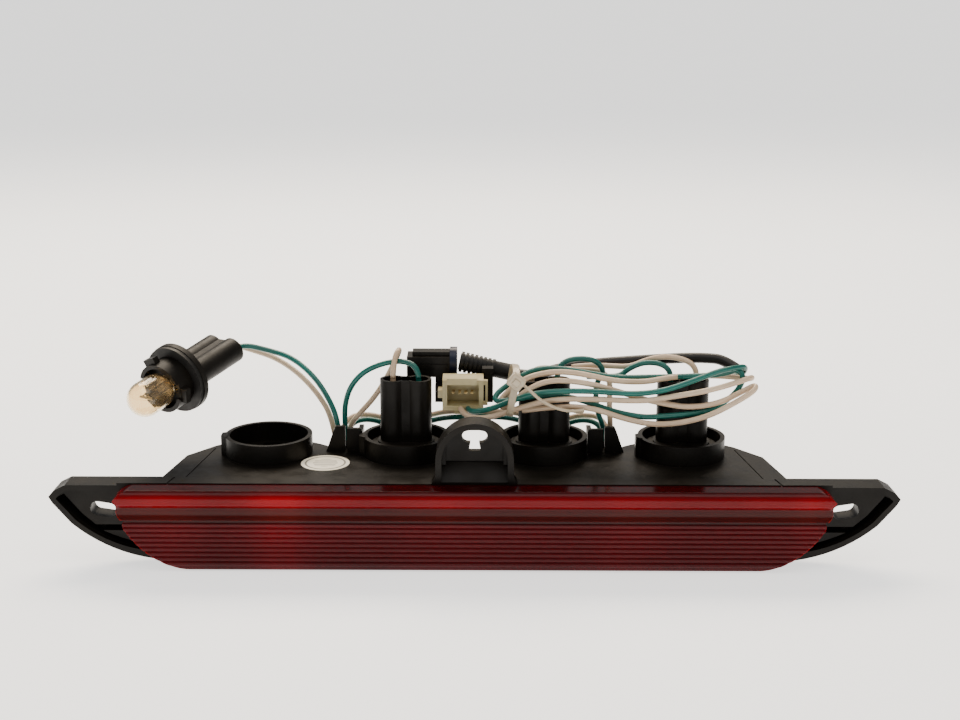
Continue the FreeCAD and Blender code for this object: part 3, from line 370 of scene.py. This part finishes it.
def tube(name, line, radius):
    """A mesh tube around a line, with its rings kept from twisting."""
    sides = 14
    across = (line[1] - line[0]).orthogonal().normalized()
    vertices, faces = [], []
    for i, spot in enumerate(line):
        ahead = (line[min(i + 1, len(line) - 1)] - line[max(i - 1, 0)]).normalized()
        across = (across - ahead * across.dot(ahead)).normalized()
        other = ahead.cross(across)
        for k in range(sides):
            a = 2 * math.pi * k / sides
            vertices.append(spot + (across * math.cos(a) + other * math.sin(a)) * radius * MM)
    for i in range(len(line) - 1):
        for k in range(sides):
            a, b = i * sides + k, i * sides + (k + 1) % sides
            faces.append((a, b, b + sides, a + sides))
    faces.append(tuple(reversed(range(sides))))
    faces.append(tuple(range((len(line) - 1) * sides, len(line) * sides)))
    obj = mesh_object(name, vertices, faces)
    obj.data.polygons.foreach_set("use_smooth", [len(f) == 4 for f in faces])
    return obj


def fixed_wire(name, points, colour, radius=WIRE_R, stands_for=()):
    """A wire that doesn't move with any joint."""
    obj = finish_piece(nurbs(name, points, radius), colour)
    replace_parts(obj, *stands_for)
    length = length_of(line_of(points))


def boot_wire(name, points, colour, stands_for=()):
    """A wire that leaves a boot: a mesh tube along its line, on no body, that stays put."""
    line = line_of(points)
    obj = finish_piece(tube(name, line, WIRE_R), colour, body=None)
    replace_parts(obj, *stands_for)
    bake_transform(obj)


def boot_mouth(port, side):
    return (PORT_X[port - 1] + side * BOOT_OFFSET, PORT_Y, MOUTH_Z)


# the loose socket: the middle of its seat, its turn about Z, its lift, and how far its boot reaches
LOOSE_SEAT = Vector((-129.0, -22.0, 69.0))
LOOSE_REACH = 33.4
LOOSE_TURN, LOOSE_LIFT = math.radians(58.0), math.radians(13.0)
LOOSE_LEVEL = Vector((math.cos(LOOSE_TURN), math.sin(LOOSE_TURN), 0))
LOOSE_BOOT = LOOSE_LEVEL * math.cos(LOOSE_LIFT) + Vector((0, 0, math.sin(LOOSE_LIFT)))
LOOSE_ACROSS = Vector((math.sin(LOOSE_TURN), -math.cos(LOOSE_TURN), 0))


def loose_mouth(side, out=0.0):
    return tuple(LOOSE_SEAT + LOOSE_BOOT * (LOOSE_REACH + out) + LOOSE_ACROSS * (side * BOOT_OFFSET))


def add_wires():
    fixed_wire("green_wire_1", [
        loose_mouth(1), loose_mouth(1, 6.0), (-92.0, 9.0, 74.6), (-81.4, 5.0, 72.4), (-71.0, -2.4, 65.8),
        (-64.0, -7.6, 56.6), (-60.2, -9.6, 47.4), (-59.8, -9.2, 38.6),
    ], "green_wire", stands_for=["wire_1_green"])
    fixed_wire("white_wire_1", [
        loose_mouth(-1), loose_mouth(-1, 5.5), (-100.0, 17.4, 72.4), (-89.0, 12.4, 70.0),
        (-78.4, 4.8, 65.0), (-69.4, -2.0, 57.4), (-63.4, -5.8, 48.4), (-61.8, -6.6, 38.6),
    ], "white_wire", stands_for=["wire_1_white"])
    boot_wire("green_wire_2", [
        boot_mouth(2, 1), (-24.6, -18.8, 74.6), (-31.6, -15.8, 76.6), (-40.6, -14.6, 74.8),
        (-49.0, -13.4, 70.4), (-54.6, -12.4, 63.4), (-57.0, -11.0, 55.0), (-57.2, -9.8, 46.6),
        (-57.0, -9.2, 38.6),
    ], "green_wire", ["wire_2_green"])
    boot_wire("white_wire_2", [
        boot_mouth(2, -1), (-34.9, -18.6, 78.2), (-32.4, -12.6, 81.6), (-34.4, -7.0, 75.4),
        (-38.6, -6.6, 66.6), (-44.0, -7.0, 57.8), (-51.0, -7.2, 50.0), (-55.6, -7.0, 44.6),
        (-55.8, -7.0, 38.6),
    ], "white_wire", ["wire_2_white"])
    boot_wire("green_wire_3", [
        boot_mouth(3, 1), (35.4, -18.8, 73.6), (38.6, -17.4, 77.2), (45.7, -16.0, 78.0),
        (52.6, -15.6, 76.6), (56.0, -14.6, 71.0), (52.6, -12.0, 66.0), (52.6, -11.0, 59.0),
        (53.6, -10.6, 52.0), (56.6, -9.4, 44.6), (57.0, -9.2, 38.6),
    ], "green_wire", ["drop_green"])
    boot_wire("white_wire_3", [
        boot_mouth(3, -1), (24.4, -18.4, 72.4), (28.0, -15.6, 73.6), (36.0, -13.2, 72.4),
        (46.0, -11.8, 71.6), (55.0, -11.0, 71.0), (58.8, -11.0, 66.6), (58.6, -11.0, 58.4),
        (59.0, -10.4, 50.4), (59.6, -9.4, 44.0), (59.6, -9.2, 38.6),
    ], "white_wire", ["drop_white"])
    boot_wire("green_wire_4", [
        boot_mouth(4, -1), (84.0, -18.6, 73.0), (79.8, -17.0, 76.0), (72.6, -16.0, 76.2),
        (66.4, -15.6, 73.4), (62.6, -15.8, 70.0), (56.6, -17.8, 70.2), (48.0, -18.6, 70.4),
    ], "green_wire")
    boot_wire("white_wire_4", [
        boot_mouth(4, 1), (95.4, -18.0, 73.2), (91.6, -15.4, 77.0), (82.0, -14.0, 78.6),
        (74.0, -13.4, 76.6), (67.0, -12.0, 73.0), (59.0, -9.0, 72.6), (50.0, -8.6, 73.0),
        (42.0, -10.0, 72.4),
    ], "white_wire")
    fixed_wire("green_trunk", [
        (-57.2, -4.4, 38.6), (-56.0, -3.6, 44.6), (-47.0, 1.4, 45.6), (-36.0, 2.6, 40.6),
        (-25.4, 2.8, 42.0), (-15.4, -4.4, 47.4), (-5.2, -12.0, 50.2), (5.6, -12.0, 50.4),
        (15.6, -4.4, 47.6), (25.6, 2.8, 42.4), (36.0, 2.6, 40.6), (47.0, 1.4, 45.6), (56.0, -3.6, 44.6),
        (57.2, -4.4, 38.6),
    ], "green_wire", stands_for=["trunk_green"])
    fixed_wire("white_trunk", [
        (-59.6, -3.9, 38.6), (-58.0, -1.0, 46.4), (-48.0, 4.0, 47.0), (-36.4, 5.2, 43.0),
        (-24.6, 5.4, 44.2), (-14.6, -1.8, 49.6), (-4.8, -9.4, 51.8), (5.8, -9.4, 51.8),
        (16.0, -1.8, 49.8), (26.0, 5.4, 44.4), (36.6, 5.2, 43.0), (48.0, 4.0, 47.0), (58.0, -1.0, 46.4),
        (59.6, -3.9, 38.6),
    ], "white_wire", stands_for=["trunk_white"])


def add_hank():
    """The wires of the hank: one green and one white wire, each folded to and fro, and the sleeve."""
    sleeve = [
        (17.5, -0.46, 66.93), (25.0, -0.7, 65.4), (36.0, -2.4, 69.8), (52.0, -3.6, 72.4),
        (72.0, -4.0, 74.0), (90.0, -3.6, 75.0), (101.0, -3.4, 75.0), (109.0, -4.8, 74.6),
        (114.6, -9.6, 71.2),
    ]
    green = [
        (-3.0, -22.35, 57.0), (-2.2, -27.4, 57.2), (2.0, -30.2, 58.0), (8.6, -31.6, 60.2),
        (18.3, -32.8, 65.0), (30.3, -33.2, 67.9), (50.5, -33.2, 68.0), (66.0, -33.2, 66.6),
        (78.7, -33.0, 67.9), (90.7, -32.4, 71.9), (102.6, -31.0, 76.4), (109.0, -28.6, 77.0),
        (115.8, -24.0, 76.6), (113.8, -19.6, 71.0), (104.3, -20.6, 71.6), (94.5, -22.2, 71.6),
        (75.7, -22.8, 71.4), (59.3, -22.8, 71.0), (47.8, -22.8, 73.2), (34.0, -22.6, 75.4),
        (24.0, -22.8, 74.4), (16.0, -24.2, 69.6), (9.0, -26.6, 65.0), (8.4, -29.0, 62.0),
        (14.4, -30.2, 63.0), (26.0, -30.4, 65.2), (38.0, -30.6, 65.2), (47.4, -31.6, 62.8),
        (58.8, -32.2, 58.6), (71.0, -32.2, 56.2), (79.0, -31.8, 56.6), (89.5, -31.0, 57.2),
        (100.0, -30.8, 58.8), (110.0, -28.8, 65.0), (114.4, -27.2, 72.4), (111.4, -25.0, 75.8),
        (107.0, -25.4, 73.8), (97.0, -25.4, 72.6), (86.0, -25.6, 72.4),
    ]
    white = [
        (-6.2, -22.45, 57.0), (-4.4, -28.2, 55.6), (1.4, -31.6, 55.2), (8.2, -32.8, 56.6),
        (22.3, -33.4, 61.8), (34.4, -33.6, 64.6), (50.6, -33.6, 64.6), (70.8, -33.6, 63.6),
        (82.8, -33.2, 65.6), (98.9, -32.6, 68.2), (111.0, -31.2, 71.6), (117.6, -28.0, 73.0),
        (117.6, -22.8, 70.6), (106.0, -22.6, 72.0), (92.0, -24.2, 72.4), (81.0, -26.4, 72.0),
        (72.1, -27.6, 70.4), (59.0, -27.6, 70.8), (46.7, -27.6, 73.8), (34.5, -27.4, 75.2),
        (22.4, -27.2, 72.6), (15.4, -27.6, 67.6), (9.6, -28.8, 61.6), (12.6, -30.4, 59.0),
        (18.0, -30.6, 64.4), (25.5, -30.6, 70.0), (34.5, -30.4, 72.2), (47.5, -30.4, 70.7),
        (58.9, -30.2, 67.6), (70.0, -30.4, 64.0), (80.0, -30.6, 61.8), (90.9, -31.6, 60.4),
        (103.0, -31.4, 62.2), (112.6, -30.4, 67.0), (118.8, -29.6, 70.2), (117.8, -33.4, 68.6),
        (110.8, -35.0, 64.4), (99.0, -35.0, 57.8), (87.0, -35.0, 54.6), (74.9, -35.0, 53.8),
        (62.7, -35.0, 56.4), (50.5, -35.0, 60.8), (40.0, -34.2, 61.6), (30.0, -31.6, 60.2),
        (20.0, -30.6, 58.6),
    ]
    fixed_wire("sleeve", sleeve, "black_sleeve", SLEEVE_R, ["cable_sleeve"])
    fixed_wire("hank_green", green, "green_wire", stands_for=["hank", "lead_green"])
    fixed_wire("hank_white", white, "white_wire", stands_for=["lead_white"])


add_wires()
add_hank()


# ---------------------------------------------------------------- cable tie
STRAP_WIDE = 3.0
STRAP_THICK = 1.1
TOOTH_EVERY = 0.45
TOOTH_HIGH = 0.14
HEAD_TILT = 38  # degrees


def ribbon(name, points, teeth):
    """A flat strap along a line, its broad side facing outwards, with fine teeth across it on request."""
    line = line_of(points)
    total = length_of(line)
    steps = int(total / (TOOTH_EVERY * MM))
    spots, where, gone = [], 0, 0.0
    for i in range(steps + 1):
        target = total * i / steps
        while where < len(line) - 2 and gone + (line[where + 1] - line[where]).length < target:
            gone += (line[where + 1] - line[where]).length
            where += 1
        run = line[where + 1] - line[where]
        spots.append(line[where] + run.normalized() * (target - gone))
    vertices, faces = [], []
    middle = sum(spots, Vector()) / len(spots)
    for i, spot in enumerate(spots):
        ahead = (spots[min(i + 1, steps)] - spots[max(i - 1, 0)]).normalized()
        out = spot - middle
        out = (out - ahead * out.dot(ahead)).normalized()
        side = ahead.cross(out)
        rise = STRAP_THICK / 2 + (TOOTH_HIGH if teeth and i % 2 else 0.0)
        for u, v in ((-1, -1), (-1, 0.6), (-0.72, 1), (0.72, 1), (1, 0.6), (1, -1)):
            high = rise if v == 1 else STRAP_THICK / 2
            vertices.append(spot + side * (u * STRAP_WIDE / 2 * MM) + out * (v * high * MM))
    for i in range(steps):
        for k in range(6):
            a, b = i * 6 + k, i * 6 + (k + 1) % 6
            faces.append((a, a + 6, b + 6, b))
    faces.append(tuple(range(6)))
    faces.append(tuple(reversed(range(steps * 6, steps * 6 + 6))))
    return mesh_object(name, vertices, faces)


def rounded_box(name, sizes, radius):
    """A box with rounded edges."""
    x, y, z = (s / 2 * MM for s in sizes)
    corners = [(a * x, b * y, c * z) for a in (-1, 1) for b in (-1, 1) for c in (-1, 1)]
    faces = [(0, 1, 3, 2), (4, 6, 7, 5), (0, 4, 5, 1), (2, 3, 7, 6), (0, 2, 6, 4), (1, 5, 7, 3)]
    obj = mesh_object(name, corners, faces)
    bevel = obj.modifiers.new("round", "BEVEL")
    bevel.width = radius * MM
    bevel.segments = 3
    return obj


def add_tie():
    loop = [
        (17.4, -37.0, 73.4), (15.4, -37.4, 65.0), (14.6, -35.4, 57.4), (14.4, -28.0, 56.8),
        (14.6, -20.6, 59.6), (15.2, -18.6, 67.0), (16.4, -19.4, 75.6), (17.2, -26.0, 77.4),
        (17.4, -34.0, 76.8), (17.4, -36.8, 75.2),
    ]
    tail = [
        (17.6, -37.6, 74.0), (22.0, -37.8, 70.4), (28.0, -37.8, 64.4), (36.0, -37.8, 61.0),
        (43.0, -37.4, 60.2), (45.4, -36.4, 60.0),
    ]
    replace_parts(finish_piece(ribbon("tie_loop", loop, False), "clear_nylon"), "cable_tie")
    finish_piece(ribbon("tie_tail", tail, True), "clear_nylon")
    tilt = Matrix.Rotation(math.radians(HEAD_TILT), 4, "Y")
    head = rounded_box("tie_head", (6.4, 4.2, 6.0), 0.7)
    head.matrix_world = Matrix.Translation(at(17.2, -38.0, 73.2)) @ tilt
    finish_piece(head, "clear_nylon")
    nose = rounded_box("tie_pawl", (3.0, 1.4, 3.0), 0.4)
    nose.matrix_world = Matrix.Translation(at(17.2, -40.3, 73.2)) @ tilt
    finish_piece(nose, "clear_nylon")


add_tie()


# ---------------------------------------------------------------- floor and light
def add_floor():
    half = 20.0
    corners = [(-half, -half, 0), (half, -half, 0), (half, half, 0), (-half, half, 0)]
    floor = mesh_object("floor", corners, [(0, 1, 2, 3)])
    material, tree, shader = new_material("floor")
    vector = coordinates(tree)
    colour = ramp(tree, noise(tree, vector, 3.0), [(0.3, 0.78), (0.7, 0.82)])
    tree.links.new(colour, shader.inputs["Base Color"])
    shader.inputs["Roughness"].default_value = 0.9
    shader.inputs["Emission Color"].default_value = (1.0, 0.99, 0.97, 1)
    shader.inputs["Emission Strength"].default_value = 1.3
    floor.data.materials.append(material)


def add_light(name, where, target, power, wide, colour):
    data = bpy.data.lights.new(name, "AREA")
    data.shape = "RECTANGLE"
    data.size, data.size_y = wide
    data.energy = power
    data.color = colour
    light = bpy.data.objects.new(name, data)
    light.location = where
    light.rotation_mode = "QUATERNION"
    light.rotation_quaternion = (Vector(target) - Vector(where)).to_track_quat("-Z", "Y")
    bpy.context.collection.objects.link(light)


def add_world():
    world = bpy.data.worlds.new("studio")
    world.use_nodes = True
    background = world.node_tree.nodes["Background"]
    background.inputs["Color"].default_value = (1.0, 0.99, 0.97, 1)
    background.inputs["Strength"].default_value = 0.4
    bpy.context.scene.world = world


add_floor()
add_light("top_back", (-0.15, 0.75, 1.0), (0, 0, 0.04), 26.0, (1.2, 0.6), (1.0, 0.87, 0.70))
add_light("top_front", (0.1, -0.5, 1.3), (0, 0, 0.03), 7.0, (1.4, 0.8), (1.0, 0.97, 0.93))
add_world()
